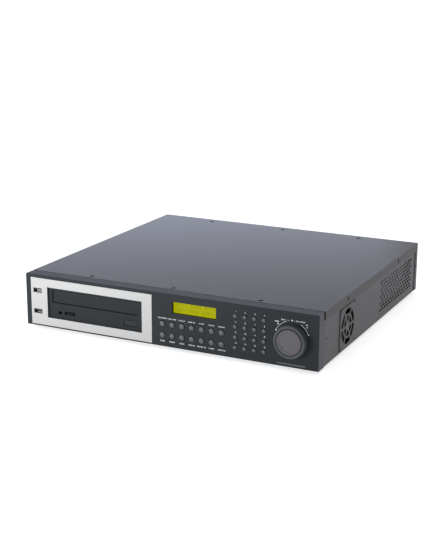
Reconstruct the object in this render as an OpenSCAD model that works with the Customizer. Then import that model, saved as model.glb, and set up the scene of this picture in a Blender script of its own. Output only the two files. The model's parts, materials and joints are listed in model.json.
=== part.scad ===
// Rack-width video recorder: steel case, moulded front with an optical drive, a display,
// two fields of keys and a jog/shuttle knob, a side fan, and a rear panel of sockets.
// Inside to_row(), x runs right from the case's left side, y runs back from the front
// face and z runs up from the underside of the case. to_row() centres it on its feet.

/* [Case] */
// Width of the case
case_w = 432; // [432:0.5:440]
// Height of the case without its feet
case_h = 73; // [73:0.5:80]
// Depth of the case from the front face to the rear panel
case_d = 407; // [405:1:440]
// Thickness of the steel sheet
sheet = 1; // [0.8:0.1:1.2]
// Height of the cover's side flanges
flange_h = 12; // [10:0.5:14]
// Height of the rubber feet
foot_h = 5; // [3:0.5:10]
// Radius of the rubber feet
foot_r = 9; // [7:0.5:12]

/* [Front] */
// Depth of the moulded front
bezel_d = 18.6; // [18:0.1:22]
// Thickness of the moulding's face
bezel_wall = 3; // [2.5:0.1:3]
// Thickness of the silver trim plate
trim_t = 0.8; // [0.6:0.1:1.2]
// Width of a half-height drive's face
drive_w = 148; // [147.5:0.1:148.5]
// Height of a half-height drive's face
drive_h = 43; // [42.5:0.1:43.5]

/* [Keys] */
// Radius of a function key
fkey_r = 3.5; // [3:0.1:3.6]
// Spacing of the function keys along their rows
fkey_pitch = 14.3; // [14:0.1:14.6]
// Radius of a channel key
ckey_r = 2.5; // [2:0.1:2.7]
// Spacing of the channel keys across
ckey_pitch = 13.3; // [13:0.1:13.6]
// Height that a key stands out of the front
key_out = 1.5; // [1:0.1:2]

/* [Knob] */
// Radius of the shuttle ring at its base
ring_r = 22; // [20:0.5:22]
// Radius of the jog dial
dial_r = 16.6; // [15.5:0.1:17]
// Height of the knob above the front face
knob_out = 10; // [10:0.5:12]

/* [Vents] */
// Length of a vent slot
vent_l = 7.4; // [6:0.1:8]
// Radius of a vent slot's ends
vent_r = 1.6; // [1:0.1:2]
// Spacing of the vents along a row
vent_pitch = 10.6; // [10.4:0.1:10.8]
// Spacing of the rows of vents
vent_row = 5.15; // [5:0.05:5.4]
// Number of rows of vents
vent_rows = 9; // [3:2:9]
// Number of vents in a long row
vent_cols = 14; // [4:1:14]

/* [Hidden] */
$fn = 48;

gap = 0.3;                              // clearance between parts that move past each other
bnc_out = 12;                           // reach of the video sockets behind the rear panel
mid_y = (case_d + bnc_out - knob_out) / 2;
wall_out = case_w - sheet;              // outside of the right wall, which is under the cover
wall_top = case_h - sheet;              // underside of the cover
bezel_top = case_h - 0.2;
flange_z = case_h - flange_h;
cover_y = bezel_d + 0.6;                // a fine gap divides the front from the cover
notch_y = 14.5;                         // finger notch in the front's ends, where it meets the cover
rear_flange_y = case_d - 10;

screw_xs = [for (i = [-1, 0, 1]) case_w / 2 + 125.5 * i];
screw_ys = [26, case_d - 14];
flange_screw_ys = [101, 311];
flange_screw_z = case_h - 5.3;
rear_screw_z = 38;
head_r = 3;
head_t = 0.5;
shank_r = 1.5;
ear_hole_r = 1.65;                      // M4 tapping hole for a rack ear
ear_y = 26.7;
ear_z = 36;

drive_x = 34.5;                         // left edge of the drive window
drive_z = 14;
drive_face_y = 1.8;
drive_back_y = 6.2;                     // front of the drive's steel case
door_y = 3.2;
slot_x = [41.1, 174.3];                 // the tray's door opening
slot_z = [35.5, 53.6];
tray_z = 38;
tray_t = 4.5;
tray_end_y = 160;
disc_y = 69;
disc_x = (slot_x[0] + slot_x[1]) / 2;
eject_x = [153.6, 173.6];
eject_z = [19, 27.7];
jack_x = 53.1;
jack_z = 22.4;
wheel_r = 11;
wheel_x = 68.9;
wheel_y = 12;
wheel_z = [21.4, 24.9];

usb_x = 18.8;
usb_zs = [50.8, 21.2];
usb_w = 13.3;
usb_h = 6;

lcd_x = [226.6, 290.8];                 // the display's window in the front
lcd_z = [46.8, 62.8];
glass_y = 7;                            // front of the display, behind its window
board_y = 13.6;

fkey_x = 213;
fkey_zs = [31.2, 15.9];
ckey_x = 318;
ckey_zs = [56.4, 42.4, 28.5, 14.7];

knob_x = 395.5;
knob_z = 35.6;
bush_r = 4.9;
shaft_r = 3;
fit = 0.07;                             // radial clearance of a running fit

fan_w = 60;
fan_t = 25;
fan_y = 102.2;
fan_z = 31.2;
fan_x = wall_out - sheet;               // the fan's outer face, against the inside of the wall
guard_z = 30.5;
boss_y = [74.3, 130.1];                 // the pressed boss that holds the fan guard
boss_z = [2.6, 58.4];

vent_y = 238;
vent_z = 13;

bnc_pitch = 17.5;
bnc_x = 22;
bnc_zs = [54, 36];
out_z = 16;
inlet_x = 385;
inlet_z = 20;
rocker_z = 50;
rocker_tilt = 8;

// ---- helpers ----

module to_row() translate([-case_w / 2, -mid_y, foot_h]) children();

// A box from its lowest to its highest corner.
module block(low, high) translate(low) cube(high - low);

// A cylinder along y, from y0 back to y1.
module rod_y(r, y0, y1, x, z) translate([x, y1, z]) rotate([90, 0, 0]) cylinder(r = r, h = y1 - y0);

// A cylinder along x.
module rod_x(r, x0, x1, y, z) translate([x0, y, z]) rotate([0, 90, 0]) cylinder(r = r, h = x1 - x0);

// An outline in x and z, made solid from y0 back to y1.
module panel_y(y0, y1) translate([0, y1, 0]) rotate([90, 0, 0]) linear_extrude(y1 - y0) children();

// An outline in y and z, made solid from x0 to x1.
module panel_x(x0, x1) translate([x0, 0, 0]) rotate([90, 0, 90]) linear_extrude(x1 - x0) children();

module rect(low, high) translate(low) square(high - low);

module spot(x, y, r) translate([x, y]) circle(r);

// A profile of radius and height, turned about an axis that points out of the front face.
module turned_y(x, z) translate([x, 0, z]) rotate([90, 0, 0]) rotate_extrude() children();

function fkey_at(i) = [fkey_x + fkey_pitch * (i % 7), fkey_zs[floor(i / 7)]];
function ckey_at(i) = [ckey_x + ckey_pitch * (i % 4), ckey_zs[floor(i / 4)]];
function fan_corners() = [for (y = [-25, 25], z = [-25, 25]) [fan_y + y, fan_z + z]];

// ---- case ----

module vent_field() {
    for (row = [0 : vent_rows - 1], col = [0 : vent_cols - 1 - row % 2])
        translate([vent_y + vent_pitch * (col + (row % 2) / 2), vent_z + vent_row * row]) {
            half = vent_l / 2 - vent_r;
            rect([-half, -vent_r], [half, vent_r]);
            for (y = [-half, half]) spot(y, 0, vent_r);
        }
}

module wall_outline() {
    difference() {
        rect([bezel_d, 0], [case_d - sheet, wall_top]);
        vent_field();
        spot(ear_y, ear_z, ear_hole_r);
        for (y = flange_screw_ys) spot(y, flange_screw_z, shank_r + 0.1);
        spot(case_d - 6, rear_screw_z, shank_r + 0.1);
    }
}

// Slots of the pressed fan guard: two rings of openings with six spokes.
module guard_slots() {
    translate([fan_y, guard_z]) difference() {
        circle(24);
        difference() {
            circle(17);
            circle(14);
        }
        circle(7);
        for (a = [0 : 60 : 120]) rotate(a) square([60, 3.2], center = true);
    }
}

// The fan guard, pressed out of the right wall until it is flush with the cover.
module fan_boss() {
    edge = [sheet, sheet];
    difference() {
        block([fan_x, boss_y[0], boss_z[0]], [case_w, boss_y[1], boss_z[1]]);
        panel_x(fan_x - 1, wall_out) rect([boss_y[0], boss_z[0]] + edge, [boss_y[1], boss_z[1]] - edge);
        panel_x(fan_x - 1, case_w + 1) {
            guard_slots();
            for (c = fan_corners()) spot(c[0], c[1], shank_r + 0.2);
        }
        for (c = fan_corners()) rod_x(2.1, case_w - 0.7, case_w + 1, c[0], c[1]);
    }
}

// Both side walls; the right one carries the fan.
module side_walls() {
    color([0.30, 0.30, 0.32]) to_row() {
        panel_x(sheet, 2 * sheet) wall_outline();
        panel_x(wall_out - sheet, wall_out) difference() {
            wall_outline();
            rect([boss_y[0] + sheet, boss_z[0] + sheet], [boss_y[1] - sheet, boss_z[1] - sheet]);
            for (c = fan_corners()) spot(c[0], c[1], shank_r + 0.2);
        }
        fan_boss();
        ear_nut(2 * sheet);
        ear_nut(wall_out - sheet - 2.5);
    }
}

module ear_nut(x) {
    difference() {
        rod_x(4, x, x + 2.5, ear_y, ear_z);
        rod_x(ear_hole_r, x - 1, x + 4, ear_y, ear_z);
    }
}

module chassis_base() {
    color([0.30, 0.30, 0.32]) to_row() {
        block([2 * sheet, bezel_d, 0], [wall_out - sheet, case_d - sheet, sheet]);
        // Front wall, with openings for the drive and for the wires to the front board.
        panel_y(bezel_d, bezel_d + sheet) difference() {
            rect([2 * sheet, 0], [wall_out - sheet, wall_top]);
            rect([drive_x - 0.4, drive_z - 0.4], [drive_x + drive_w + 0.4, drive_z + drive_h + 0.4]);
            rect([215, 14], [300, 58]);
            rect([320, 14], [410, 58]);
        }
        // Top flange that the cover is screwed to.
        difference() {
            block([2 * sheet, bezel_d, wall_top - sheet], [wall_out - sheet, bezel_d + 16, wall_top]);
            for (x = screw_xs) translate([x, screw_ys[0], 0]) cylinder(r = shank_r + 0.1, h = case_h);
        }
        // Brackets under the drive.
        for (x = [drive_x + 1, drive_x + drive_w - 13])
            block([x, 30, sheet], [x + 12, 180, 14.9]);
        for (x = [24, 160, 296], y = [225, 380])
            translate([x, y, sheet]) cylinder(r = 2.5, h = 6);
    }
}

module top_cover() {
    color([0.40, 0.41, 0.45]) to_row() {
        difference() {
            block([0, cover_y, wall_top], [case_w, case_d, case_h]);
            for (x = screw_xs, y = screw_ys)
                translate([x, y, 0]) cylinder(r = head_r + 0.2, h = case_h + 1);
        }
        for (x = [0, wall_out]) panel_x(x, x + sheet) difference() {
            rect([cover_y + 1.3, flange_z], [case_d - sheet - 0.1, wall_top]);
            for (y = flange_screw_ys) spot(y, flange_screw_z, head_r + 0.2);
        }
    }
}

module bnc_spots() {
    for (i = [0 : 15], z = bnc_zs) spot(bnc_x + bnc_pitch * i, z, 4.95);
    for (i = [0, 1]) spot(bnc_x + bnc_pitch * i, out_z, 4.95);
}

module rear_panel() {
    color([0.36, 0.36, 0.38]) to_row() {
        panel_y(case_d - sheet, case_d) difference() {
            rect([0, 0], [case_w, wall_top]);
            bnc_spots();
            rect([59, 10.5], [86, 21.5]);
            rect([100, 10.5], [143, 21.5]);
            rect([153.4, 8.9], [169.6, 22.6]);
            rect([178.4, 9.9], [214.6, 22.1]);
            for (x = [232 : 14 : 274]) spot(x, out_z, 4.2);
            rect([inlet_x - 14.2, inlet_z - 10.2], [inlet_x + 14.2, inlet_z + 10.2]);
            rect([inlet_x - 9.7, rocker_z - 7.2], [inlet_x + 9.7, rocker_z + 7.2]);
            for (row = [0 : 6], col = [0 : 3]) spot(310 + 7 * col, 14 + 7 * row, 2);
        }
        for (x = [0, wall_out]) panel_x(x, x + sheet) difference() {
            rect([rear_flange_y, 0.4], [case_d - sheet, flange_z - 0.4]);
            spot(case_d - 6, rear_screw_z, head_r + 0.2);
        }
        difference() {
            block([2 * sheet + 0.2, case_d - 20, wall_top - sheet],
                  [wall_out - sheet - 0.2, case_d - sheet, wall_top]);
            for (x = screw_xs) translate([x, screw_ys[1], 0]) cylinder(r = shank_r + 0.1, h = case_h);
        }
    }
}

// Countersunk screws: the cover's top and flanges, the rear panel's flanges, the fan.
module screws() {
    color([0.25, 0.25, 0.27]) to_row() {
        for (x = screw_xs, y = screw_ys) translate([x, y, 0]) {
            translate([0, 0, wall_top]) cylinder(r = head_r, h = head_t);
            translate([0, 0, wall_top - 5]) cylinder(r = shank_r, h = 5);
        }
        for (y = concat(flange_screw_ys, [case_d - 6])) {
            z = y > 350 ? rear_screw_z : flange_screw_z;
            rod_x(head_r, sheet - head_t, sheet, y, z);
            rod_x(shank_r, sheet, sheet + 5, y, z);
            rod_x(head_r, wall_out, wall_out + head_t, y, z);
            rod_x(shank_r, wall_out - 5, wall_out, y, z);
        }
        for (c = fan_corners()) {
            rod_x(1.95, case_w - 0.7, case_w - 0.2, c[0], c[1]);
            rod_x(shank_r, case_w - 15, case_w - 0.7, c[0], c[1]);
        }
    }
}

module feet() {
    color([0.12, 0.12, 0.12]) to_row()
        for (x = [45, case_w - 45], y = [55, case_d - 50]) translate([x, y, -foot_h]) difference() {
            cylinder(r = foot_r, h = foot_h);
            translate([0, 0, -1]) cylinder(r = 3, h = foot_h - 1);
        }
}

// ---- front ----

edge_r = 1.4;
function front_profile() = concat([[bezel_d, 0], [bezel_d, bezel_top]],
    [for (a = [90 : -15 : 0]) [edge_r - edge_r * cos(a), bezel_top - edge_r + edge_r * sin(a)]],
    [for (a = [0 : 30 : 90]) [0.6 - 0.6 * cos(a), 0.6 - 0.6 * sin(a)]]);

module front_bezel() {
    color([0.20, 0.22, 0.24]) to_row() difference() {
        union() {
            difference() {
                panel_x(0, case_w) polygon(front_profile());
                block([bezel_wall, bezel_wall, 2.5], [case_w - bezel_wall, bezel_d + 1, bezel_top - 2.5]);
            }
            for (p = [[209, 8], [209, 66], [303, 6.5], [303, 66], [422, 8], [422, 66]])
                rod_y(3, bezel_wall - 0.5, board_y, p[0], p[1]);
        }
        for (x = [-2, case_w - 1.6]) block([x, notch_y, flange_z + 2], [x + 2.6, bezel_d + 1, case_h]);
        panel_y(-1, bezel_wall + 1) {
            rect([drive_x, drive_z - 0.05], [drive_x + drive_w, drive_z + drive_h]);
            for (z = usb_zs) rect([usb_x - 6.9, z - 3.3], [usb_x + 6.9, z + 3.3]);
            rect([lcd_x[0], lcd_z[0]], [lcd_x[1], lcd_z[1]]);
            for (i = [0 : 13]) spot(fkey_at(i)[0], fkey_at(i)[1], fkey_r + 0.9);
            for (i = [0 : 15]) spot(ckey_at(i)[0], ckey_at(i)[1], ckey_r + 0.8);
            spot(knob_x, knob_z, bush_r + 0.4);
        }
    }
}

module trim_plate() {
    color([0.82, 0.82, 0.84]) to_row() panel_y(-trim_t, 0) difference() {
        rect([8.3, 2.4], [197.5, 68.6]);
        rect([drive_x, drive_z - 0.05], [drive_x + drive_w, drive_z + drive_h]);
        for (z = usb_zs) rect([usb_x - 6.9, z - 3.3], [usb_x + 6.9, z + 3.3]);
    }
}

module usb_ports() {
    color([0.70, 0.70, 0.72]) to_row() {
        for (z = usb_zs) {
            difference() {
                block([usb_x - usb_w / 2, -0.5, z - usb_h / 2],
                      [usb_x + usb_w / 2, board_y, z + usb_h / 2]);
                block([usb_x - usb_w / 2 + 0.4, -1, z - usb_h / 2 + 0.4],
                      [usb_x + usb_w / 2 - 0.4, board_y - 1, z + usb_h / 2 - 0.4]);
            }
            block([usb_x - 5.6, 0.6, z + 0.5], [usb_x + 5.6, board_y - 1, z + 2.3]);
        }
        block([usb_x - 11, board_y, 13], [usb_x + 11, board_y + 1.6, 60]);
    }
}

module lcd_glass() {
    color([0.70, 0.72, 0.10]) to_row()
        block([lcd_x[0] - 1.8, glass_y, lcd_z[0] - 1.8], [lcd_x[1] + 1.8, glass_y + 1.8, lcd_z[1] + 1.8]);
}

module lcd_module() {
    color([0.15, 0.16, 0.17]) to_row() {
        difference() {
            block([lcd_x[0] - 5, bezel_wall + 0.2, lcd_z[0] - 3.5],
                  [lcd_x[1] + 5, glass_y + 4, lcd_z[1] + 3.5]);
            block([lcd_x[0] - 2, glass_y - 0.1, lcd_z[0] - 2], [lcd_x[1] + 2, glass_y + 1.9, lcd_z[1] + 2]);
            block([lcd_x[0] - 0.6, 3, lcd_z[0] - 0.6], [lcd_x[1] + 0.6, glass_y + 1, lcd_z[1] + 0.6]);
        }
        block([lcd_x[0] - 7.5, glass_y + 4, lcd_z[0] - 7], [lcd_x[1] + 7.5, glass_y + 5.6, lcd_z[1] + 6]);
    }
}

// The front board with a switch behind each key.
module front_board() {
    color([0.10, 0.35, 0.18]) to_row() {
        block([205, board_y, 4], [426, board_y + 1.6, 69]);
        for (p = concat([for (i = [0 : 13]) fkey_at(i)], [for (i = [0 : 15]) ckey_at(i)])) {
            block([p[0] - 3, board_y - 3.5, p[1] - 3], [p[0] + 3, board_y, p[1] + 3]);
            rod_y(1.7, board_y - 4.8, board_y - 3.5, p[0], p[1]);
        }
    }
}

// A round key: domed cap, collar that keeps it behind the front, and a stem to its switch.
module round_key(at, r) {
    dome = 2.6 * r;
    to_row() {
        intersection() {
            rod_y(r, -key_out - 1, bezel_wall + 0.5, at[0], at[1]);
            translate([at[0], dome - key_out, at[1]]) rotate([90, 0, 0]) sphere(r = dome, $fn = 96);
        }
        rod_y(r + 1.6, bezel_wall + 0.5, bezel_wall + 1.5, at[0], at[1]);
        rod_y(1.5, bezel_wall + 1.5, board_y - 6.2, at[0], at[1]);
    }
}

module function_key(i) color([0.45, 0.46, 0.47]) round_key(fkey_at(i - 1), fkey_r);

module channel_key(i) color([0.42, 0.43, 0.44]) round_key(ckey_at(i - 1), ckey_r);

module jog_encoder() {
    color([0.55, 0.55, 0.57]) to_row() difference() {
        union() {
            block([knob_x - 7, 6, knob_z - 7], [knob_x + 7, board_y, knob_z + 7]);
            rod_y(bush_r, -3.4, 6, knob_x, knob_z);
        }
        rod_y(shaft_r + fit, -4, 5, knob_x, knob_z);
    }
}

module shuttle_ring() {
    front = knob_out - 0.3;
    color([0.33, 0.34, 0.35]) to_row() turned_y(knob_x, knob_z) polygon([[bush_r + fit, 0.5],
        [ring_r - 0.3, 0.5], [ring_r, 0.9], [ring_r - 0.7, front - 1], [ring_r - 1.7, front],
        [dial_r + 2, front], [dial_r + 0.6, front - 1], [dial_r + 0.6, 3.2], [bush_r + fit, 3.2]]);
}

module jog_dial() {
    color([0.40, 0.39, 0.40]) to_row() difference() {
        turned_y(knob_x, knob_z) polygon([[0, -4.5], [shaft_r, -4.5], [shaft_r, 3.8], [dial_r, 3.8],
            [dial_r, knob_out - 0.7], [dial_r - 0.7, knob_out], [dial_r - 2.7, knob_out],
            [dial_r - 3.7, knob_out - 0.6], [0, knob_out - 0.6]]);
        translate([knob_x - 6.6, -knob_out - 4.3, knob_z - 7.4]) sphere(r = 5.6);
    }
}

// ---- optical drive ----

module drive_faceplate() {
    color([0.17, 0.18, 0.19]) to_row()
        difference() {
            panel_y(drive_face_y, drive_back_y) difference() {
                rect([drive_x + 0.3, drive_z + 0.3], [drive_x + drive_w - 0.3, drive_z + drive_h - 0.3]);
                rect([slot_x[0], slot_z[0]], [slot_x[1], slot_z[1]]);
                rect([eject_x[0], eject_z[0]], [eject_x[1], eject_z[1]]);
                rect([wheel_x - 8.2, wheel_z[0] - 0.4], [wheel_x + 8.2, wheel_z[1] + 0.4]);
                spot(jack_x, jack_z, 2.8);
            }
            // Room for the wider part of the volume wheel.
            block([wheel_x - 10.8, drive_face_y + 1.8, wheel_z[0] - 0.8],
                  [wheel_x + 10.8, drive_back_y + 1, wheel_z[1] + 0.8]);
        }
}

module drive_case() {
    low = [drive_x + 0.9, drive_back_y, 15];
    high = [drive_x + drive_w - 0.9, 190, 56.3];
    color([0.62, 0.63, 0.64]) to_row() {
        difference() {
            block(low, high);
            block(low + [1, -1, 1], high - [1, 1, 1]);
        }
        // Side rails that carry the tray, the deck, and the disc motor in its lowered place.
        for (x = [low[0], high[0] - 12]) block([x, 12, tray_z - 1.6], [x + 12, 186, tray_z - gap]);
        block([low[0], 60, 29], [high[0], 186, 30.2]);
        translate([disc_x, disc_y + 8, 30.2]) cylinder(r = 14, h = 4);
        translate([disc_x, disc_y + 8, 34.2]) cylinder(r = 7, h = 2.8);
        translate([wheel_x, wheel_y, low[2]]) cylinder(r = 1.42, h = 12);
    }
}

module drive_tray() {
    color([0.17, 0.18, 0.19]) to_row() {
        block([slot_x[0] + 0.5, door_y, slot_z[0] + 0.4], [slot_x[1] - 0.6, door_y + 3, slot_z[1] - 0.6]);
        difference() {
            block([slot_x[0] + 2.4, door_y + 3, tray_z], [slot_x[1] - 2.4, tray_end_y, tray_z + tray_t]);
            translate([disc_x, disc_y, tray_z + 2]) cylinder(r = 60.5, h = tray_t, $fn = 120);
            translate([disc_x, disc_y, tray_z + 1.2]) cylinder(r = 40.5, h = tray_t, $fn = 96);
            block([disc_x - 20, disc_y, tray_z - 1], [disc_x + 20, tray_end_y - 12, tray_z + tray_t + 1]);
            translate([disc_x, disc_y, tray_z - 1]) cylinder(r = 20, h = tray_t);
        }
    }
}

module eject_button() {
    color([0.20, 0.21, 0.22]) to_row() {
        block([eject_x[0] + gap, 2.4, eject_z[0] + gap], [eject_x[1] - 0.5, 6.6, eject_z[1] - 0.5]);
        block([eject_x[0] - 0.8, 6.6, eject_z[0] - 0.8], [eject_x[1] + 0.8, 7.6, eject_z[1] + 0.8]);
    }
}

module volume_wheel() {
    color([0.10, 0.10, 0.11]) to_row() translate([wheel_x, wheel_y, wheel_z[0]]) difference() {
        cylinder(r = wheel_r, h = wheel_z[1] - wheel_z[0], $fn = 96);
        translate([0, 0, -1]) cylinder(r = 1.42 + fit, h = 6);
        for (a = [0 : 15 : 345])
            rotate(a) translate([wheel_r + 0.25, 0, -1]) cylinder(r = 0.6, h = 6, $fn = 16);
    }
}

module headphone_jack() {
    color([0.08, 0.08, 0.09]) to_row() difference() {
        union() {
            rod_y(2.6, 1.4, 8, jack_x, jack_z);
            block([jack_x - 4, 8, jack_z - 4], [jack_x + 4, 17, jack_z + 4]);
        }
        rod_y(1.8, 0, 15, jack_x, jack_z);
    }
}

// ---- side fan ----

module fan_frame() {
    low_x = fan_x - fan_t;
    color([0.10, 0.10, 0.11]) to_row() {
        difference() {
            block([low_x, fan_y - fan_w / 2, fan_z - fan_w / 2],
                  [fan_x, fan_y + fan_w / 2, fan_z + fan_w / 2]);
            rod_x(28.6, low_x - 1, fan_x + 1, fan_y, fan_z);
            for (c = fan_corners()) rod_x(2.15, low_x - 1, fan_x + 1, c[0], c[1]);
        }
        difference() {
            union() {
                rod_x(13, low_x, low_x + 3, fan_y, fan_z);
                translate([low_x, fan_y, fan_z]) for (a = [45, 135]) rotate([a, 0, 0])
                    translate([0, -29, -1.5]) cube([3, 58, 3]);
                rod_x(4, low_x + 3, low_x + 17, fan_y, fan_z);
            }
            rod_x(1.5 + fit, low_x + 1, low_x + 18, fan_y, fan_z);
        }
    }
}

module fan_rotor() {
    low_x = fan_x - fan_t + 4;
    top_x = fan_x - 2;
    color([0.14, 0.14, 0.15]) to_row() {
        difference() {
            rod_x(14, low_x, top_x, fan_y, fan_z);
            rod_x(12.8, low_x - 1, top_x - 1.2, fan_y, fan_z);
        }
        rod_x(1.5, low_x - 2, top_x - 1, fan_y, fan_z);
        intersection() {
            difference() {
                rod_x(27.6, low_x, top_x, fan_y, fan_z);
                rod_x(13.6, low_x - 1, top_x + 1, fan_y, fan_z);
            }
            translate([(low_x + top_x) / 2, fan_y, fan_z]) for (i = [0 : 6]) rotate([360 / 7 * i, 0, 0])
                translate([0, 0, 13]) rotate([0, 0, 38]) translate([-0.7, -14, 0]) cube([1.4, 28, 16]);
        }
    }
}

// ---- inside ----

module main_board() {
    color([0.10, 0.35, 0.18]) to_row() {
        block([14, 215, sheet + 6], [306, 390, sheet + 7.6]);
        for (x = [50, 105, 205]) block([x, 260, sheet + 7.6], [x + 28, 288, sheet + 10]);
        // Finned heat sink on the processor.
        block([150, 300, sheet + 7.6], [190, 340, sheet + 11]);
        for (i = [0 : 9]) block([150 + 4.2 * i, 300, sheet + 11], [151.4 + 4.2 * i, 340, sheet + 23]);
        for (i = [0 : 5]) translate([230 + 10 * i, 330, sheet + 7.6]) cylinder(r = 4, h = 12);
    }
}

module power_supply() {
    low = [324, 224, sheet];
    high = [424, 378, 62];
    color([0.66, 0.67, 0.68]) to_row() difference() {
        block(low, high);
        block(low + [1, 1, 1], high - [1, 1, 1]);
        for (i = [0 : 9]) rod_x(2.5, high[0] - 2, high[0] + 1, 240 + 13 * i, 40);
    }
}

module hard_drives() {
    color([0.60, 0.61, 0.62]) to_row() for (x = [192, 297]) difference() {
        block([x, 35, sheet], [x + 101.6, 182, sheet + 26.1]);
        block([x + 5, 40, sheet - 1], [x + 96.6, 150, sheet + 5]);
        block([x + 4, 176, sheet + 3], [x + 60, 183, sheet + 12]);
    }
}

// ---- rear sockets ----

// A bayonet video socket, from its body inside the panel to its open barrel outside.
module bnc(x, z) {
    translate([x, case_d, z]) rotate([-90, 0, 0]) {
        rotate_extrude() polygon([[0, -11], [5.9, -11], [5.9, -sheet], [4.8, -sheet], [4.8, 0], [7, 0],
            [7, 2], [4.85, 2], [4.85, bnc_out], [4.1, bnc_out], [4.1, 4], [2.2, 4], [2.2, 9], [0, 9]]);
        for (s = [-1, 1]) translate([0, 0, 9]) rotate([0, 90 * s, 0]) cylinder(r = 0.95, h = 5.7, $fn = 16);
    }
}

// The lugs start inside the barrel's wall, so the bore is cleared again.
module bnc_clear(x, z) translate([x, case_d, z]) rotate([-90, 0, 0]) difference() {
    translate([0, 0, 4]) cylinder(r = 4.1, h = 9);
    cylinder(r = 2.2, h = 9);
}

module bnc_connectors() {
    color([0.75, 0.75, 0.77]) to_row()
        for (p = concat([for (i = [0 : 15], z = bnc_zs) [bnc_x + bnc_pitch * i, z]],
                        [for (i = [0, 1]) [bnc_x + bnc_pitch * i, out_z]])) difference() {
            bnc(p[0], p[1]);
            bnc_clear(p[0], p[1]);
        }
}

// A D-shaped socket in its flange, with a screw post at each end.
module d_socket(x, w) {
    difference() {
        union() {
            block([x - w / 2 - 7, case_d, out_z - 6.2], [x + w / 2 + 7, case_d + 0.8, out_z + 6.2]);
            panel_y(case_d - 12, case_d + 6) translate([x, out_z]) polygon([[-w / 2, 4.2], [w / 2, 4.2],
                [w / 2 - 1.6, -4.2], [-w / 2 + 1.6, -4.2]]);
        }
        for (s = [-1, 1]) rod_y(1.3, case_d - 1, case_d + 2, x + s * (w / 2 + 4), out_z);
    }
}

module io_connectors() {
    color([0.55, 0.56, 0.60]) to_row() {
        d_socket(72.5, 17);
        d_socket(121.5, 39);
        difference() {
            block([153.6, case_d - 15, 9.1], [169.4, case_d + 1, 22.4]);
            block([155.6, case_d - 12, 11], [167.4, case_d + 2, 19.5]);
            block([158.5, case_d - 12, 19], [164.5, case_d + 2, 21.2]);
        }
        difference() {
            block([178.6, case_d - 10, 10.1], [214.4, case_d + 8, 21.9]);
            for (i = [0 : 6]) rod_y(1.3, case_d + 2, case_d + 9, 181.6 + 5 * i, 13.5);
        }
        for (x = [232 : 14 : 274]) difference() {
            union() {
                rod_y(4.1, case_d - 8, case_d + 9, x, out_z);
                rod_y(5.2, case_d, case_d + 1.5, x, out_z);
            }
            rod_y(1.6, case_d, case_d + 10, x, out_z);
        }
    }
}

module ac_inlet() {
    x = inlet_x;
    color([0.09, 0.09, 0.10]) to_row() {
        difference() {
            union() {
                block([x - 14, case_d - 18, inlet_z - 10], [x + 14, case_d + 1, inlet_z + 10]);
                block([x - 25, case_d, inlet_z - 11], [x + 25, case_d + 2.4, inlet_z + 11]);
            }
            panel_y(case_d - 14, case_d + 3) translate([x, inlet_z]) polygon([[-12.2, -8.3],
                [12.2, -8.3], [12.2, 4.4], [8, 8.3], [-8, 8.3], [-12.2, 4.4]]);
            for (s = [-1, 1]) rod_y(1.6, case_d - 1, case_d + 3, x + 20 * s, inlet_z);
        }
        for (p = [[-7, -1.2], [0, 2.6], [7, -1.2]])
            block([x + p[0] - 1, case_d - 15, inlet_z + p[1] - 2],
                  [x + p[0] + 1, case_d - 1, inlet_z + p[1] + 2]);
        // Housing of the mains switch.
        difference() {
            union() {
                block([x - 9.5, case_d - 14, rocker_z - 7], [x + 9.5, case_d + 1, rocker_z + 7]);
                block([x - 10.8, case_d, rocker_z - 8.3], [x + 10.8, case_d + 1.6, rocker_z + 8.3]);
            }
            block([x - 8.5, case_d - 8, rocker_z - 6.1], [x + 8.5, case_d + 2, rocker_z + 6.1]);
            rod_x(1 + fit, x - 9.1, x + 9.1, case_d - 0.8, rocker_z);
        }
    }
}

module power_rocker() {
    color([0.12, 0.12, 0.13]) to_row() translate([0, case_d - 0.8, rocker_z]) rotate([rocker_tilt, 0, 0]) {
        rod_x(1, inlet_x - 8.9, inlet_x + 8.9, 0, 0);
        panel_x(inlet_x - 8.2, inlet_x + 8.2)
            polygon([[-4.4, -2.6], [-4.4, 2.6], [-0.4, 5.4], [4.2, 5.2],
                     [2.6, 0], [4.2, -5.2], [-0.4, -5.4]]);
    }
}

chassis_base();
side_walls();
top_cover();
rear_panel();
front_bezel();
trim_plate();
drive_faceplate();
drive_case();
drive_tray();
eject_button();
volume_wheel();
headphone_jack();
usb_ports();
lcd_glass();
lcd_module();
front_board();
jog_encoder();
jog_dial();
shuttle_ring();
fan_frame();
fan_rotor();
screws();
feet();
main_board();
power_supply();
hard_drives();
bnc_connectors();
io_connectors();
ac_inlet();
power_rocker();
for (i = [1 : 14]) function_key(i);
for (i = [1 : 16]) channel_key(i);
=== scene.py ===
import json
import math
import random

import bmesh
import bpy
from mathutils import Matrix, Vector


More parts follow.
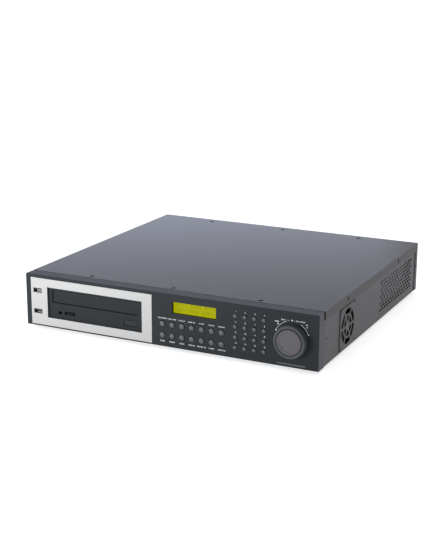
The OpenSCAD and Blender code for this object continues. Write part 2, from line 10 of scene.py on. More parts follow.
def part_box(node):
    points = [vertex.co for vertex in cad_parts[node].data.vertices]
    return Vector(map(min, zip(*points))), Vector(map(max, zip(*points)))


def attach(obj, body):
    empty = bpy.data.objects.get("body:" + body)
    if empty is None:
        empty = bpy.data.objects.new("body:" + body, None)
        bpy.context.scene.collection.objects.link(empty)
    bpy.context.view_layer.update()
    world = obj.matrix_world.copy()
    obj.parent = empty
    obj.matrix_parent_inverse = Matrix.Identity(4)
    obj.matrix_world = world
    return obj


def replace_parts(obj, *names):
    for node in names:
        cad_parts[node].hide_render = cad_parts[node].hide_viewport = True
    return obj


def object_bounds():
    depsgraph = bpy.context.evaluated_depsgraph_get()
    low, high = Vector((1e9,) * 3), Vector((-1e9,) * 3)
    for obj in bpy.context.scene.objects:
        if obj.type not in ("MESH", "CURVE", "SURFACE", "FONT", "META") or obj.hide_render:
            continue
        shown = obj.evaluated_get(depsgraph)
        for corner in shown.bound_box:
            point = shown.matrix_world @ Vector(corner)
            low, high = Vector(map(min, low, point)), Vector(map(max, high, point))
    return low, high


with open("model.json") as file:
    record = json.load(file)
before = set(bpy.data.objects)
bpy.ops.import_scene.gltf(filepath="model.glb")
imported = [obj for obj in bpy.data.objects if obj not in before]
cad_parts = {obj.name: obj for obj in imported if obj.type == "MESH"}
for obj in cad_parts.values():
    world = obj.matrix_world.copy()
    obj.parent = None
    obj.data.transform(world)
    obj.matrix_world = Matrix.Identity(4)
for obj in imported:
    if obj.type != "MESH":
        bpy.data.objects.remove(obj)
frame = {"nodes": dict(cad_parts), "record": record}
CAD_LOW, CAD_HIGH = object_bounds()

MM = 0.001
FRONT_LOW, FRONT_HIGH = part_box("front_bezel")
REAR = (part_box("rear_panel")[1].y - FRONT_LOW.y) / MM      # the rear panel's outer face
TOP = (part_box("top_cover")[1].z - FRONT_LOW.z) / MM
WIDTH = (FRONT_HIGH.x - FRONT_LOW.x) / MM

# The camera, in millimetres from the case's front, left, bottom corner, and in degrees.
CAMERA_AT = (924, -1290, 512)
CAMERA_AZIMUTH = 26.07
CAMERA_ELEVATION = 15.43
CAMERA_ROLL = 0.2
CAMERA_LENS = 79.37

PRINT_T = 0.04                # thickness of printed marks, in millimetres


def on_case(x, y, z):
    """A point from millimetres right, back and up from the case's front, left, bottom corner."""
    return FRONT_LOW + Vector((x, y, z)) * MM


# ---- materials ----

def linear(r, g, b):
    """A colour given as 0-255 display values, as the shader wants it."""
    return tuple(((c / 255 + 0.055) / 1.055) ** 2.4 if c > 10 else c / 255 / 12.92
                 for c in (r, g, b))


class Shader:
    """A node material that is built up step by step."""

    def __init__(self, name, colour, rough, metal=0.0, specular=0.5):
        self.mat = bpy.data.materials.new(name)
        self.mat.use_nodes = True
        self.nodes = self.mat.node_tree.nodes
        self.links = self.mat.node_tree.links
        self.bsdf = self.nodes["Principled BSDF"]
        self.colour = colour
        self.bsdf.inputs["Base Color"].default_value = (*colour, 1)
        self.bsdf.inputs["Roughness"].default_value = rough
        self.bsdf.inputs["Metallic"].default_value = metal
        self.bsdf.inputs["Specular IOR Level"].default_value = specular
        self.rough = rough
        self.tint = None

    def noise(self, scale, stretch=(1, 1, 1), detail=3.0):
        """Noise in the object's own space; scale is in waves per metre."""
        place = self.nodes.new("ShaderNodeTexCoord")
        mapping = self.nodes.new("ShaderNodeMapping")
        mapping.inputs["Scale"].default_value = stretch
        texture = self.nodes.new("ShaderNodeTexNoise")
        texture.inputs["Scale"].default_value = scale
        texture.inputs["Detail"].default_value = detail
        self.links.new(place.outputs["Object"], mapping.inputs["Vector"])
        self.links.new(mapping.outputs["Vector"], texture.inputs["Vector"])
        return texture.outputs["Fac"]

    def spread(self, value, low, high, start=0.3, end=0.7):
        """The value from start to end, stretched to run from low to high."""
        step = self.nodes.new("ShaderNodeMapRange")
        step.inputs["From Min"].default_value = start
        step.inputs["From Max"].default_value = end
        step.inputs["To Min"].default_value = low
        step.inputs["To Max"].default_value = high
        self.links.new(value, step.inputs["Value"])
        return step.outputs["Result"]

    def mix(self, factor, first, second):
        """Blends two colours, each a tuple or a socket, into the base colour."""
        node = self.nodes.new("ShaderNodeMix")
        node.data_type = "RGBA"
        self.links.new(factor, node.inputs["Factor"])
        for socket, value in (("A", first), ("B", second)):
            target = next(s for s in node.inputs if s.name == socket and s.type == "RGBA")
            if isinstance(value, tuple):
                target.default_value = (*value, 1)
            else:
                self.links.new(value, target)
        self.tint = next(s for s in node.outputs if s.type == "RGBA")
        self.links.new(self.tint, self.bsdf.inputs["Base Color"])
        return self

    def mottle(self, amount, scale, stretch=(1, 1, 1)):
        """Uneven tone over the surface, as a share of the colour."""
        darker = tuple(c * (1 - amount) for c in self.colour)
        lighter = tuple(min(1, c * (1 + amount)) for c in self.colour)
        return self.mix(self.spread(self.noise(scale, stretch), 0, 1), darker, lighter)

    def uneven_gloss(self, amount, scale, stretch=(1, 1, 1)):
        """Roughness that wanders by amount on either side of the material's own."""
        value = self.spread(self.noise(scale, stretch), self.rough - amount, self.rough + amount)
        self.links.new(value, self.bsdf.inputs["Roughness"])
        return self

    def grain(self, height_mm, scale, stretch=(1, 1, 1), strength=1.0):
        """Fine bumps, on top of any that are there already."""
        bump = self.nodes.new("ShaderNodeBump")
        bump.inputs["Distance"].default_value = height_mm * MM
        bump.inputs["Strength"].default_value = strength
        self.links.new(self.noise(scale, stretch, 2.0), bump.inputs["Height"])
        old = self.bsdf.inputs["Normal"].links
        if old:
            self.links.new(old[0].from_socket, bump.inputs["Normal"])
        self.links.new(bump.outputs["Normal"], self.bsdf.inputs["Normal"])
        return self

    def by_facing(self, axis, painted_light_tone, rough):
        """Painted light: another tone on the faces that aren't square to the axis, for the light and
        shade that they get, and another roughness there.
        """
        normal = self.nodes.new("ShaderNodeNewGeometry")
        parts = self.nodes.new("ShaderNodeSeparateXYZ")
        self.links.new(normal.outputs["Normal"], parts.inputs[0])
        size = self.nodes.new("ShaderNodeMath")
        size.operation = "ABSOLUTE"
        self.links.new(parts.outputs[axis], size.inputs[0])
        square = self.spread(size.outputs[0], 0, 1, 0.3, 0.8)
        gloss = self.spread(size.outputs[0], rough, self.rough, 0.3, 0.8)
        self.links.new(gloss, self.bsdf.inputs["Roughness"])
        return self.mix(square, painted_light_tone, self.tint or self.colour)

    def worn_edges(self, colour, radius_mm, amount):
        """Painted light at the edges: another colour where the surface turns sharply, broken up by
        noise, painted shade where it is darker and a painted highlight where it is lighter.
        """
        bevel = self.nodes.new("ShaderNodeBevel")
        bevel.samples = 4
        bevel.inputs["Radius"].default_value = radius_mm * MM
        flat = self.nodes.new("ShaderNodeNewGeometry")
        dot = self.nodes.new("ShaderNodeVectorMath")
        dot.operation = "DOT_PRODUCT"
        self.links.new(bevel.outputs["Normal"], dot.inputs[0])
        self.links.new(flat.outputs["Normal"], dot.inputs[1])
        edge = self.spread(dot.outputs["Value"], amount, 0.0, 0.75, 0.97)
        patchy = self.nodes.new("ShaderNodeMath")
        patchy.operation = "MULTIPLY"
        self.links.new(edge, patchy.inputs[0])
        self.links.new(self.spread(self.noise(90), 0.2, 1.0), patchy.inputs[1])
        return self.mix(patchy.outputs[0], self.tint or self.colour, colour)


def painted_steel(name, colour, rough, upright_painted_light=None):
    """Fine-textured paint with painted shade darkening the bends; the faces that stand up can have a
    tone of their own, painted light and shade.
    """
    shader = Shader(name, colour, rough, specular=0.3)
    shader.mottle(0.02, 9).grain(0.05, 1500, strength=0.35)
    # Faces that stand up take a tone of painted light and shade.
    if upright_painted_light:
        shader.by_facing("Z", upright_painted_light, 0.5)
    else:
        shader.uneven_gloss(0.015, 30)
    # The bends take a darker colour: painted shade.
    return shader.worn_edges(tuple(c * 0.35 for c in colour), 1.0, 0.75).mat


def moulded(name, colour, rough, specular=0.3, edge=1.5, sides_painted_light=None):
    """Plastic with a fine grain; edge is how much lighter its edges are painted, as a painted highlight,
    and sides is the tone of painted light and shade on the faces off the front.
    """
    shader = Shader(name, colour, rough, specular=specular)
    shader.mottle(0.06, 25).grain(0.03, 2400, strength=0.4)
    # Faces off the front take a tone of painted light and shade.
    if sides_painted_light:
        shader.by_facing("Y", sides_painted_light, rough)
    else:
        shader.uneven_gloss(0.05, 60)
    # The edges take a lighter colour: a painted highlight.
    return shader.worn_edges(tuple(c * edge + 0.003 for c in colour), 0.35, 0.6).mat


def brushed(name, colour, rough, stretch, metal=1.0):
    """Metal with a brushed grain that runs along the least stretched axis."""
    shader = Shader(name, colour, rough, metal=metal)
    shader.mottle(0.05, 60, stretch).uneven_gloss(0.08, 60, stretch)
    return shader.grain(0.02, 60, stretch, strength=0.25).mat


def plated(name, colour, rough=0.25):
    shader = Shader(name, colour, rough, metal=1.0)
    return shader.mottle(0.06, 200).uneven_gloss(0.08, 400).grain(0.01, 1800, strength=0.3).mat


def rubber(name, colour):
    shader = Shader(name, colour, 0.75, specular=0.3)
    return shader.mottle(0.15, 80).grain(0.08, 1200, strength=0.5).mat


def circuit_board(name, colour):
    shader = Shader(name, colour, 0.4)
    return shader.mottle(0.35, 160, (1, 4, 1)).grain(0.03, 700, strength=0.5).mat


def backlit(name, colour, strength):
    """The display's lit film, with a faint weave."""
    shader = Shader(name, tuple(c * 0.12 for c in colour), 0.5, specular=0.04)
    shader.mottle(0.10, 120, (1, 1, 2))
    shader.bsdf.inputs["Emission Color"].default_value = (*colour, 1)
    shader.bsdf.inputs["Emission Strength"].default_value = strength
    return shader.grain(0.01, 3000, strength=0.2).mat


def ink(name, colour, specular=0.3):
    shader = Shader(name, colour, 0.55, specular=specular)
    return shader.mottle(0.10, 900).grain(0.01, 4000, strength=0.3).mat


MATERIALS = {
    "case_steel": painted_steel("case_paint", linear(62, 61, 64), 0.5),
    "rear_steel": painted_steel("rear_paint", linear(56, 56, 58), 0.5),
    # The cover is one paint: its bluish top and its lighter faces that stand up paint the light and
    # reflection that each gets.
    "cover_steel": painted_steel("cover_paint", linear(27, 26, 42), 0.23,
                                 upright_painted_light=linear(42, 42, 43)),
    # The front is one plastic: its lighter top and ends are painted light.
    "front_plastic": moulded("front_moulding", linear(35, 39, 42), 0.45, specular=0.08,
                             sides_painted_light=linear(72, 73, 80)),
    "trim_metal": brushed("trim_aluminium", linear(150, 150, 150), 0.5, (0.15, 1, 40),
                          metal=0.3),
    "drive_plastic": moulded("drive_front", linear(25, 28, 31), 0.5, specular=0.12),
    "button_plastic": moulded("drive_button", linear(28, 30, 33), 0.45, specular=0.15),
    "bright_steel": brushed("bright_steel", linear(185, 187, 190), 0.4, (1, 30, 1)),
    "dark_plastic": moulded("dark_plastic", linear(11, 11, 12), 0.6, specular=0.1, edge=1.0),
    "socket_steel": brushed("socket_steel", linear(96, 96, 98), 0.5, (30, 1, 1)),
    "display": backlit("display_film", linear(160, 161, 4), 1.0),
    "circuit_board": circuit_board("circuit_board", linear(30, 92, 58)),
    "dial_plastic": moulded("dial_plastic", linear(74, 72, 76), 0.5),
    "knob_plastic": moulded("knob_plastic", linear(56, 60, 61), 0.5),
    "fan_plastic": moulded("fan_plastic", linear(20, 20, 23), 0.5),
    "screw_steel": plated("blackened_screw", linear(48, 48, 52), 0.4),
    "foot_rubber": rubber("foot_rubber", linear(26, 26, 27)),
    "cast_aluminium": brushed("cast_aluminium", linear(165, 167, 170), 0.5, (1, 1, 1)),
    "socket_nickel": plated("socket_nickel", linear(200, 196, 190)),
    "socket_shell": plated("socket_shell", linear(160, 162, 168), 0.35),
    "inlet_plastic": moulded("inlet_plastic", linear(24, 24, 26), 0.45),
    "rocker_plastic": moulded("rocker_plastic", linear(30, 30, 33), 0.25),
    "key_plastic": moulded("key_plastic", linear(68, 72, 75), 0.5),
    "printed_ink": ink("printed_ink", linear(176, 180, 184)),
    "display_dots": ink("display_dots", linear(118, 120, 8), specular=0.05),
    "insulator_plastic": moulded("socket_insulator", linear(222, 222, 216), 0.4, edge=1.0),
    "gold_contact": plated("gold_contact", linear(214, 176, 96), 0.3),
    "terminal_plastic": moulded("terminal_plastic", linear(36, 116, 62), 0.45),
    "insert_plastic": moulded("monitor_insert", linear(34, 62, 130), 0.45),
    "audio_plastic": moulded("audio_ring", linear(150, 30, 30), 0.4),
}


# ---- finishing the CAD nodes ----

def finish_node(node, slot, bevel_mm=0.0):
    """Gives a CAD node its material and, where asked, softly rounded edges."""
    obj = frame["nodes"][node]
    obj.data.materials.clear()
    obj.data.materials.append(MATERIALS[slot])
    if not bevel_mm:
        return
    obj.data.polygons.foreach_set("use_smooth", [True] * len(obj.data.polygons))
    if "custom_normal" in obj.data.attributes:
        obj.data.attributes.remove(obj.data.attributes["custom_normal"])
    weld = obj.modifiers.new("weld", "WELD")
    weld.merge_threshold = 0.002 * MM
    flat = obj.modifiers.new("planar", "DECIMATE")
    flat.decimate_type = "DISSOLVE"
    flat.angle_limit = math.radians(0.5)
    bevel = obj.modifiers.new("edges", "BEVEL")
    bevel.width = bevel_mm * MM
    bevel.segments = 3
    bevel.limit_method = "ANGLE"
    bevel.angle_limit = math.radians(40)
    bevel.use_clamp_overlap = True
    shade = obj.modifiers.new("shade", "WEIGHTED_NORMAL")
    shade.keep_sharp = True


EDGES_MM = {
    "top_cover": 0.45, "trim_plate": 0.15, "drive_faceplate": 0.35, "eject_button": 0.4,
    "drive_tray": 0.4, "front_bezel": 0.4, "power_rocker": 0.4, "ac_inlet": 0.4,
}
for entry in frame["record"]["subparts"]:
    finish_node(entry["node"], entry["material_slot"], EDGES_MM.get(entry["node"], 0.0))


# ---- making pieces ----

class Piece:
    """A mesh that is gathered from simple shapes and then becomes one piece of one body."""

    def __init__(self, name, slot, body="root"):
        self.name = name
        self.slot = slot
        self.body = body
        self.bm = bmesh.new()

    def slab(self, outline, place, thickness):
        """A flat shape, from its outline's points, raised by thickness along place's z."""
        low = [self.bm.verts.new(place @ Vector((x, y, 0))) for x, y in outline]
        high = [self.bm.verts.new(place @ Vector((x, y, thickness))) for x, y in outline]
        self.bm.faces.new(high)
        self.bm.faces.new(list(reversed(low)))
        self.skin(low, high)

    def skin(self, low, high):
        count = len(low)
        for i in range(count):
            self.bm.faces.new((low[i], low[(i + 1) % count], high[(i + 1) % count], high[i]))

    def ring(self, outline, place, height):
        return [self.bm.verts.new(place @ Vector((x, y, height))) for x, y in outline]

    def turned(self, profile, place, steps=32):
        """A closed profile of (radius, height) points, turned about place's z."""
        rings = [self.ring(disc(max(r, 0.001), steps), place, h) for r, h in profile]
        for low, high in zip(rings, rings[1:] + rings[:1]):
            self.skin(low, high)

    def done(self):
        bmesh.ops.recalc_face_normals(self.bm, faces=self.bm.faces)
        mesh = bpy.data.meshes.new(self.name)
        self.bm.to_mesh(mesh)
        self.bm.free()
        mesh.materials.append(MATERIALS[self.slot])
        obj = bpy.data.objects.new(self.name, mesh)
        bpy.context.scene.collection.objects.link(obj)
        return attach(obj, self.body)


def bar(w, h, x=0.0, y=0.0):
    x0, x1, y0, y1 = x - w / 2, x + w / 2, y - h / 2, y + h / 2
    return [(x0, y0), (x1, y0), (x1, y1), (x0, y1)]


def arrow(w, h, way):
    """A triangle that points right, or left when way is -1."""
    return [(-way * w / 2, -h / 2), (way * w / 2, 0), (-way * w / 2, h / 2)]


def disc(r, steps=16):
    angles = [2 * math.pi * i / steps for i in range(steps)]
    return [(r * math.cos(a), r * math.sin(a)) for a in angles]


def arc(r, width, start, end, steps=16):
    """Part of a ring, from one angle in degrees to another."""
    angles = [math.radians(start + (end - start) * i / steps) for i in range(steps + 1)]
    outer = [((r + width / 2) * math.cos(a), (r + width / 2) * math.sin(a)) for a in angles]
    inner = [((r - width / 2) * math.cos(a), (r - width / 2) * math.sin(a)) for a in angles]
    return outer + inner[::-1]


# Turn a drawing in millimetres, with its reader on +z, into metres with the reader in front
# of the case or behind it.
FORWARDS = Matrix(((1, 0, 0), (0, 0, -1), (0, 1, 0))).to_4x4() @ Matrix.Scale(MM, 4)
BACKWARDS = Matrix(((-1, 0, 0), (0, 0, 1), (0, 1, 0))).to_4x4() @ Matrix.Scale(MM, 4)


def facing_front(x, z, y=0.0):
    """Places a drawing on the front at (x, z), raised towards its reader."""
    return Matrix.Translation(on_case(x, y, z)) @ FORWARDS


def facing_rear(x, z, y=REAR):
    """The same on the rear panel."""
    return Matrix.Translation(on_case(x, y, z)) @ BACKWARDS


def facing_out(at, direction):
    """The same at any point of the case, raised along the direction."""
    turn = Vector(direction).to_track_quat("Z", "Y").to_matrix().to_4x4()
    return Matrix.Translation(on_case(*at)) @ turn @ Matrix.Scale(MM, 4)


# Which of seven strokes each numeral has: 0 top, 1 and 2 right from above, 3 bottom,
# 4 and 5 left from below, 6 middle.
NUMERALS = ("012345", "12", "01643", "01623", "5612", "05623", "056432", "012", "0123456", "012356")


def numeral(target, value, place, height):
    """A whole number in plain strokes, centred on place."""
    w, t = height * 0.5, height * 0.13
    text = str(value)
    for i, figure in enumerate(text):
        x = (i - (len(text) - 1) / 2) * height * 0.72
        strokes = (bar(w, t, x, height / 2), bar(t, height / 2, x + w / 2, height / 4),
                   bar(t, height / 2, x + w / 2, -height / 4), bar(w, t, x, -height / 2),
                   bar(t, height / 2, x - w / 2, -height / 4), bar(t, height / 2, x - w / 2, height / 4),
                   bar(w, t, x, 0))
        for number, stroke in enumerate(strokes):
            # Each stroke stands a little higher than the last, so that none lie in one plane.
            if str(number) in NUMERALS[int(figure)]:
                target.slab(stroke, place, PRINT_T + 0.002 * number)


def pictograms(target, x, z, width, seed):
    """A row of plain signs as wide as the mark that it stands for."""
    pick = random.Random(seed)
    count = max(3, round(width / 1.55))
    step = width / count
    for i in range(count):
        place = facing_front(x - width / 2 + step * (i + 0.5), z)
        w, h = step * 0.74, 1.75
        sign = pick.choice(("bar", "arrow", "back", "pause", "stop", "rule"))
        if sign == "bar":
            target.slab(bar(w * 0.55, h), place, PRINT_T)
        elif sign in ("arrow", "back"):
            target.slab(arrow(w, h, 1 if sign == "arrow" else -1), place, PRINT_T)
        elif sign == "pause":
            target.slab(bar(w * 0.36, h, -w * 0.28), place, PRINT_T)
            target.slab(bar(w * 0.36, h, w * 0.28), place, PRINT_T)
        elif sign == "stop":
            target.slab(bar(w, h * 0.75), place, PRINT_T)
        else:
            target.slab(bar(w, h * 0.3, 0, -h * 0.3), place, PRINT_T)
            target.slab(bar(w, h * 0.3, 0, h * 0.3), place, PRINT_T)


# ---- printed marks on the front ----

# Millimetres from the case's left side and underside: the first key of each set and the
# spacing, the rows, and how wide the mark of each function key is.
FKEY_X, FKEY_PITCH = 213, 14.3
UPPER_MARKS_Z, UPPER_MARKS = 38.9, (13, 12.5, 9.6, 9.6, 6.7, 8, 9.2)
LOWER_MARKS_Z, LOWER_MARKS = 7.7, (7, 8.3, 7, 10.4, 13, 8, 11.3)
CKEY_X, CKEY_PITCH = 318, 13.3
CKEY_ROWS = (56.4, 42.4, 28.5, 14.7)
KNOB_X, KNOB_SCALE_Z, KNOB_SCALE_R = 395.7, 37, 23.8
KNOB_DOTS = ((374.0, 46.9, 1.0), (417.9, 46.1, 1.0), (395.8, 61.8, 1.1),
             (376.7, 55.3, 1.0), (415.7, 55.3, 0.8))                        # x, z, radius
KNOB_DASHES = ((375.3, 58.2, 5.6, 1.2), (415.3, 58.6, 2.2, 1.2),
               (390.6, 61.5, 3.4, 0.35), (399.4, 61.5, 2.0, 0.35))          # x, z, width, height
DISPLAY_LEFT = 226.6
DISPLAY_ROWS = (58.3, 51.2)
USB_X, USB_UPPER_Z, USB_LOWER_Z = 18.8, 50.8, 21.2


def front_marks():
    marks = Piece("front_marks", "printed_ink")
    rows = ((UPPER_MARKS_Z, UPPER_MARKS), (LOWER_MARKS_Z, LOWER_MARKS))
    for row, (z, widths) in enumerate(rows):
        for i, width in enumerate(widths):
            pictograms(marks, FKEY_X + FKEY_PITCH * i, z, width, 10 * row + i)
    for i in range(16):
        place = facing_front(CKEY_X + CKEY_PITCH * (i % 4) + 0.6, CKEY_ROWS[i // 4] + 6.2)
        numeral(marks, i + 1, place, 2.1)
    marks.done()

    scale = Piece("knob_marks", "printed_ink")
    for start, end in ((156, 108), (60, 22)):
        place = facing_front(KNOB_X, KNOB_SCALE_Z)
        scale.slab(arc(KNOB_SCALE_R, 0.55, start, end), place, PRINT_T)
    for x, z, r in KNOB_DOTS:
        scale.slab(disc(r), facing_front(x, z), PRINT_T + 0.01)
    for x, z, w, h in KNOB_DASHES:
        scale.slab(bar(w, h), facing_front(x, z), PRINT_T)
    pictograms(scale, 383.6, 61.4, 6.4, 31)
    pictograms(scale, 407, 61.6, 12.4, 32)
    scale.done()

    rule = Piece("knob_rule", "display_dots")
    for i in range(24):
        rule.slab(bar(1.0, 1.3 if i % 3 else 1.8), facing_front(377 + 1.6 * i, 3.8), PRINT_T)
    obj = rule.done()
    obj.data.materials[0] = ink("faded_ink", linear(96, 99, 101))


def display_figures():
    """Two rows of figures on the display's film, as a clock and a counter would show them."""
    y = (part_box("lcd_glass")[0].y - FRONT_LOW.y) / MM
    figures = Piece("display_figures", "display_dots")
    for row, z in enumerate(DISPLAY_ROWS):
        for i in range(14):
            if (i + row) % 5 != 4:
                place = facing_front(DISPLAY_LEFT + 5.6 + 4.1 * i, z, y)
                numeral(figures, (i * 7 + row * 3) % 10, place, 3.6)
    figures.done()


def usb_tongues():
    """The black tongue of each port, a dark block behind it and dark liners on its walls that paint the
    shade inside, its contacts and its bright springs.
    """
    tongues_and_shade_liners = Piece("usb_throats", "dark_plastic")
    contacts = Piece("usb_contacts", "gold_contact")
    springs = Piece("usb_springs", "socket_steel")
    for z in (USB_UPPER_Z, USB_LOWER_Z):
        tongues_and_shade_liners.slab(bar(11.4, 2.0), facing_front(USB_X, z + 1.4, 9), 8.7)
        # A dark block behind the tongue and dark liners on the left and bottom walls are painted shade.
        tongues_and_shade_liners.slab(bar(12.4, 4.9), facing_front(USB_X, z, 10), 6.5)
        tongues_and_shade_liners.slab(bar(0.3, 4.9), facing_front(USB_X - 6, z, 10), 9.8)
        tongues_and_shade_liners.slab(bar(12.4, 0.3), facing_front(USB_X, z - 2.3, 10), 9.8)
        for i in (-1.5, -0.5, 0.5, 1.5):
            contacts.slab(bar(1.1, 0.2), facing_front(USB_X + 2.3 * i, z + 0.32, 8), 7)
    springs.slab(bar(7.0, 3.8), facing_front(USB_X + 2.4, USB_UPPER_Z - 0.2, 9), 8.9)
    springs.slab(bar(7.0, 1.5), facing_front(USB_X + 2.4, USB_LOWER_Z - 1.3, 9), 8.9)
    springs.slab(bar(5.4, 0.6), facing_front(USB_X + 1.6, USB_LOWER_Z + 1.0, 9), 8.9)
    tongues_and_shade_liners.done()
    contacts.done()
    springs.done()


# ---- screws ----

SCREW_STEPS = 24
SCREW_PITCH = 0.7             # from one thread to the next, in millimetres
HEAD_R, HEAD_T, SHANK_R, SHANK_L = 3, 0.5, 1.5, 5
FAN_SCREWS = [(y, z) for y in (77.2, 127.2) for z in (6.2, 56.2)]


def cross(reach, half):
    """A plus sign's outline, from its arms' length and half their width."""
    quarter = [(half, reach), (-half, reach), (-half, half)]
    points = []
    for x, y in ((1, 0), (0, 1), (-1, 0), (0, -1)):
        points += [(a * x - b * y, a * y + b * x) for a, b in quarter]
    return points


def screw(target, place, r, thick, shank_r, length):
    """A cross-headed screw whose head's face is at place, with its thread below."""
    rim = target.ring(disc(r - 0.25, SCREW_STEPS), place, 0)
    mouth = target.ring(cross(r * 0.58, 0.32), place, 0)
    edges = [target.bm.edges.new(pair) for loop in (rim, mouth)
             for pair in zip(loop, loop[1:] + loop[:1])]
    bmesh.ops.triangle_fill(target.bm, use_beauty=True, edges=edges)
    floor = target.ring(cross(r * 0.42, 0.2), place, -thick * 0.8)
    target.skin(mouth, floor)
    target.bm.faces.new(floor)
    levels = [(r, 0.15), (r, thick - 0.02), (shank_r, thick)]
    depth = thick
    while depth < length - 0.8:
        levels += [(shank_r * 0.86, depth + SCREW_PITCH / 2), (shank_r, depth + SCREW_PITCH)]
        depth += SCREW_PITCH
    rings = [rim] + [target.ring(disc(radius, SCREW_STEPS), place, -d) for radius, d in levels]
    for low, high in zip(rings, rings[1:]):
        target.skin(low, high)
    target.bm.faces.new(rings[-1])


def screws():
    heads = Piece("cross_screws", "screw_steel")
    case_screw = (HEAD_R, HEAD_T, SHANK_R, SHANK_L)
    for x in (WIDTH / 2 - 125.5, WIDTH / 2, WIDTH / 2 + 125.5):
        for y in (26, REAR - 14):
            screw(heads, facing_out((x, y, TOP - 0.5), (0, 0, 1)), *case_screw)
    for y, z in ((101, TOP - 5.3), (311, TOP - 5.3), (REAR - 6, 38)):
        screw(heads, facing_out((0.5, y, z), (-1, 0, 0)), *case_screw)
        screw(heads, facing_out((WIDTH - 0.5, y, z), (1, 0, 0)), *case_screw)
    for y, z in FAN_SCREWS:
        screw(heads, facing_out((WIDTH - 0.2, y, z), (1, 0, 0)), 1.95, 0.5, 1.4, 14)
    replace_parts(heads.done(), "screws")


# ---- rear sockets ----

# Middles of the sockets on the rear, in millimetres from the case's left side and underside.
BNC_X, BNC_PITCH, BNC_ROWS, OUT_Z = 22, 17.5, (54, 36), 16
MONITOR_X, ALARM_X, NETWORK_X, INLET_X = 72.5, 121.5, 161.5, 385
TERMINAL_X, TERMINAL_PITCH, TERMINAL_LEFT, TERMINAL_W = 181.6, 5, 178.6, 35.8
AUDIO_X, AUDIO_PITCH = 232, 14
ROCKER_Z, ROCKER_TILT = 50, 8


def video_sockets():
    insulators = Piece("video_insulators", "insulator_plastic")
    pins = Piece("video_pins", "gold_contact")
    places = [(BNC_X + BNC_PITCH * i, z) for i in range(16) for z in BNC_ROWS]
    places += [(BNC_X + BNC_PITCH * i, OUT_Z) for i in (0, 1)]
    for x, z in places:
        place = facing_rear(x, z)
        insulators.turned(((2.25, 4.02), (4.0, 4.02), (4.0, 5.2), (3.6, 5.6), (2.6, 5.6),
                           (2.25, 5.2)), place, 24)
        pins.turned(((0.35, 9.02), (0.95, 9.02), (0.95, 10.6), (0.75, 10.9), (0.35, 10.9)),
                    place, 16)
    insulators.done()
    pins.done()


def data_sockets():
    monitor = Piece("monitor_insert", "insert_plastic")
    alarm = Piece("alarm_insert", "dark_plastic")
    holes = Piece("socket_pin_holes", "gold_contact")
    face = REAR + 6
    sockets = ((monitor, MONITOR_X, 17, (5, 5, 5)), (alarm, ALARM_X, 39, (13, 12)))
    for target, x, w, rows in sockets:
        top, bottom = w / 2 - 0.7, w / 2 - 2.1
        target.slab([(-top, 3.5), (top, 3.5), (bottom, -3.5), (-bottom, -3.5)],
                    facing_rear(x, OUT_Z, face), 0.35)
        for row, count in enumerate(rows):
            z = OUT_Z + (len(rows) - 1) * 1.2 - 2.4 * row
            for i in range(count):
                at = x + (i - (count - 1) / 2) * (w - 6) / (max(rows) - 1)
                holes.turned(((0.28, 0.3), (0.55, 0.3), (0.55, 0.5), (0.28, 0.5)),
                             facing_rear(at, z, face), 12)
    for i in range(8):
        holes.slab(bar(0.5, 1.6), facing_rear(NETWORK_X + 1.1 * (i - 3.5), 18.6, REAR - 9), 6)
    for piece in (monitor, alarm, holes):
        piece.done()


def terminal_and_audio():
    block = Piece("terminal_cover", "terminal_plastic")
    clamps = Piece("terminal_screws", "gold_contact")
    x = TERMINAL_LEFT + TERMINAL_W / 2
    front = facing_rear(x, OUT_Z, REAR + 7.6)
    block.slab(bar(TERMINAL_W, 5.2, 0, 3.3), front, 0.45)
    for i in range(8):
        block.slab(bar(0.8, 6.6, TERMINAL_W / 2 - 0.5 - 4.97 * i, -2.6), front, 0.5)
    block.slab(bar(TERMINAL_W, 7.9), facing_out((x, REAR + 4, OUT_Z + 5.9), (0, 0, 1)), 0.25)
    for i in range(7):
        at = (TERMINAL_X + TERMINAL_PITCH * i, REAR + 4, OUT_Z + 5.9)
        clamps.turned(((0.4, 0), (1.5, 0), (1.5, 0.35), (1.2, 0.55), (0.4, 0.55)),
                      facing_out(at, (0, 0, 1)), 16)
    block.done()
    clamps.done()
    reds = Piece("audio_rings_red", "audio_plastic")
    whites = Piece("audio_rings_white", "insulator_plastic")
    for i in range(4):
        target = reds if i % 2 else whites
        place = facing_rear(AUDIO_X + AUDIO_PITCH * i, OUT_Z)
        target.turned(((4.15, 1.5), (5.1, 1.5), (5.1, 2.6), (4.8, 3.0), (4.15, 3.0)), place, 28)
        target.turned(((1.7, 8.9), (3.5, 8.9), (3.5, 9.0), (1.7, 9.0)), place, 28)
    reds.done()
    whites.done()


def rear_marks():
    """A numeral at each socket, and rules between and above the others."""
    marks = Piece("rear_marks", "printed_ink")
    for i in range(16):
        x = BNC_X + BNC_PITCH * i
        numeral(marks, i + 1, facing_rear(x, 63.8), 2.6)
        marks.slab(bar(0.3, 7.4), facing_rear(x + BNC_PITCH / 2, 45), PRINT_T)
    for i in (0, 1):
        numeral(marks, i + 1, facing_rear(BNC_X + BNC_PITCH * i, 6.4), 2.2)
    for i in range(7):
        numeral(marks, i + 1, facing_rear(TERMINAL_X + TERMINAL_PITCH * i, 25), 2.0)
    for i in range(4):
        numeral(marks, i + 1, facing_rear(AUDIO_X + AUDIO_PITCH * i, 24.5), 2.0)
    for x, w in ((MONITOR_X, 26), (ALARM_X, 42), (NETWORK_X, 15)):
        marks.slab(bar(w, 0.35), facing_rear(x, 25), PRINT_T)
    marks.done()


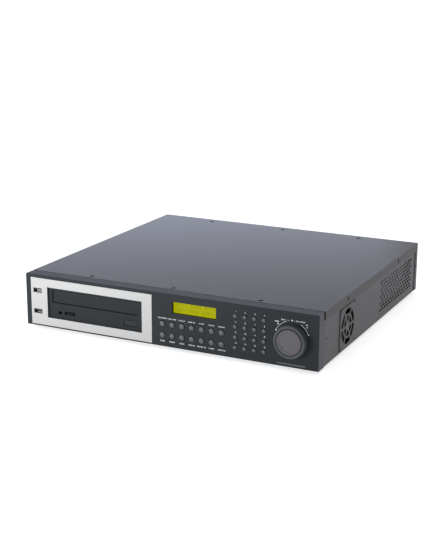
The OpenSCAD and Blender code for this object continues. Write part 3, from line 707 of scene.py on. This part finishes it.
def rocker_signs():
    """On and off, on the two leaning faces of the mains rocker as it rests."""
    signs = Piece("rocker_signs", "printed_ink", "power_rocker")
    at_rest = Matrix.Rotation(math.radians(ROCKER_TILT), 4, "X")
    pivot = Matrix.Translation(on_case(INLET_X, REAR - 0.8, ROCKER_Z)) @ at_rest
    for z, lean in ((3.0, -15), (-3.0, 15)):
        face = Matrix.Translation(Vector((0, 3.72, z)) * MM)
        place = pivot @ face @ Matrix.Rotation(math.radians(lean), 4, "X") @ BACKWARDS
        if z > 0:
            signs.slab(bar(0.5, 2.4), place, 0.3)
        else:
            signs.turned(((0.85, 0), (1.25, 0), (1.25, 0.3), (0.85, 0.3)), place, 24)
    signs.done()


front_marks()
display_figures()
usb_tongues()
screws()
video_sockets()
data_sockets()
terminal_and_audio()
rear_marks()
rocker_signs()


# ---- camera, light and floor ----

# Softboxes: name, where, what it faces, size in metres, watts and colour.
LIGHTS = (
    ("ceiling", (-0.6, 0.2, 2.2), (0, 0, 0), (1.8, 1.8), 10, (0.6, 0.76, 1.0)),
    ("left", (-0.5, -0.95, 0.14), (-0.2, -0.2, 0.05), (0.5, 0.25), 7.5, (1.0, 1.0, 1.0)),
    ("back", (-1.7, 2.4, 0.55), (0, 0, 0.07), (2.4, 0.4), 4.8, (0.64, 0.73, 1.0)),
)
WORLD = 0.62                  # strength of the even light from all round
PAPER_GLOW = 0.62             # light that the floor gives by itself, so that it is white
FLOOR_REACH = 30              # metres


def look():
    """The camera, to the front right of the object and a little above it."""
    az = math.radians(CAMERA_AZIMUTH)
    el = math.radians(CAMERA_ELEVATION)
    forward = Vector((-math.sin(az) * math.cos(el), math.cos(az) * math.cos(el), -math.sin(el)))
    camera = bpy.data.objects.new("camera", bpy.data.cameras.new("camera"))
    bpy.context.scene.collection.objects.link(camera)
    camera.data.lens = CAMERA_LENS
    camera.data.sensor_width = 36
    camera.data.clip_start = 0.05
    camera.data.clip_end = 50
    camera.location = on_case(*CAMERA_AT)
    roll = Matrix.Rotation(math.radians(CAMERA_ROLL), 3, "Z").to_quaternion()
    camera.rotation_mode = "QUATERNION"
    camera.rotation_quaternion = forward.to_track_quat("-Z", "Y") @ roll
    bpy.context.scene.camera = camera


def softbox(name, at, target, size, power, colour):
    light = bpy.data.objects.new(name, bpy.data.lights.new(name, "AREA"))
    bpy.context.scene.collection.objects.link(light)
    light.data.shape = "RECTANGLE"
    light.data.size, light.data.size_y = size
    light.data.energy = power
    light.data.color = colour
    light.location = at
    light.rotation_mode = "QUATERNION"
    light.rotation_quaternion = (Vector(target) - Vector(at)).to_track_quat("-Z", "Y")


def studio():
    scene = bpy.context.scene
    scene.view_settings.view_transform = "Standard"
    world = bpy.data.worlds.new("studio")
    world.use_nodes = True
    world.node_tree.nodes["Background"].inputs["Color"].default_value = (1, 1, 1, 1)
    world.node_tree.nodes["Background"].inputs["Strength"].default_value = WORLD
    scene.world = world
    for light in LIGHTS:
        softbox(*light)
    mesh = bpy.data.meshes.new("floor")
    corners = [(x, y, 0) for x, y in bar(2 * FLOOR_REACH, 2 * FLOOR_REACH)]
    mesh.from_pydata(corners, [], [(0, 1, 2, 3)])
    floor = bpy.data.objects.new("floor", mesh)
    floor.location.z = CAD_LOW.z
    scene.collection.objects.link(floor)
    paper = Shader("white_paper", (0.86, 0.86, 0.86), 0.9, specular=0.1)
    paper.bsdf.inputs["Emission Color"].default_value = (1, 1, 1, 1)
    paper.bsdf.inputs["Emission Strength"].default_value = PAPER_GLOW
    floor.data.materials.append(paper.mottle(0.004, 2).mat)


look()
studio()
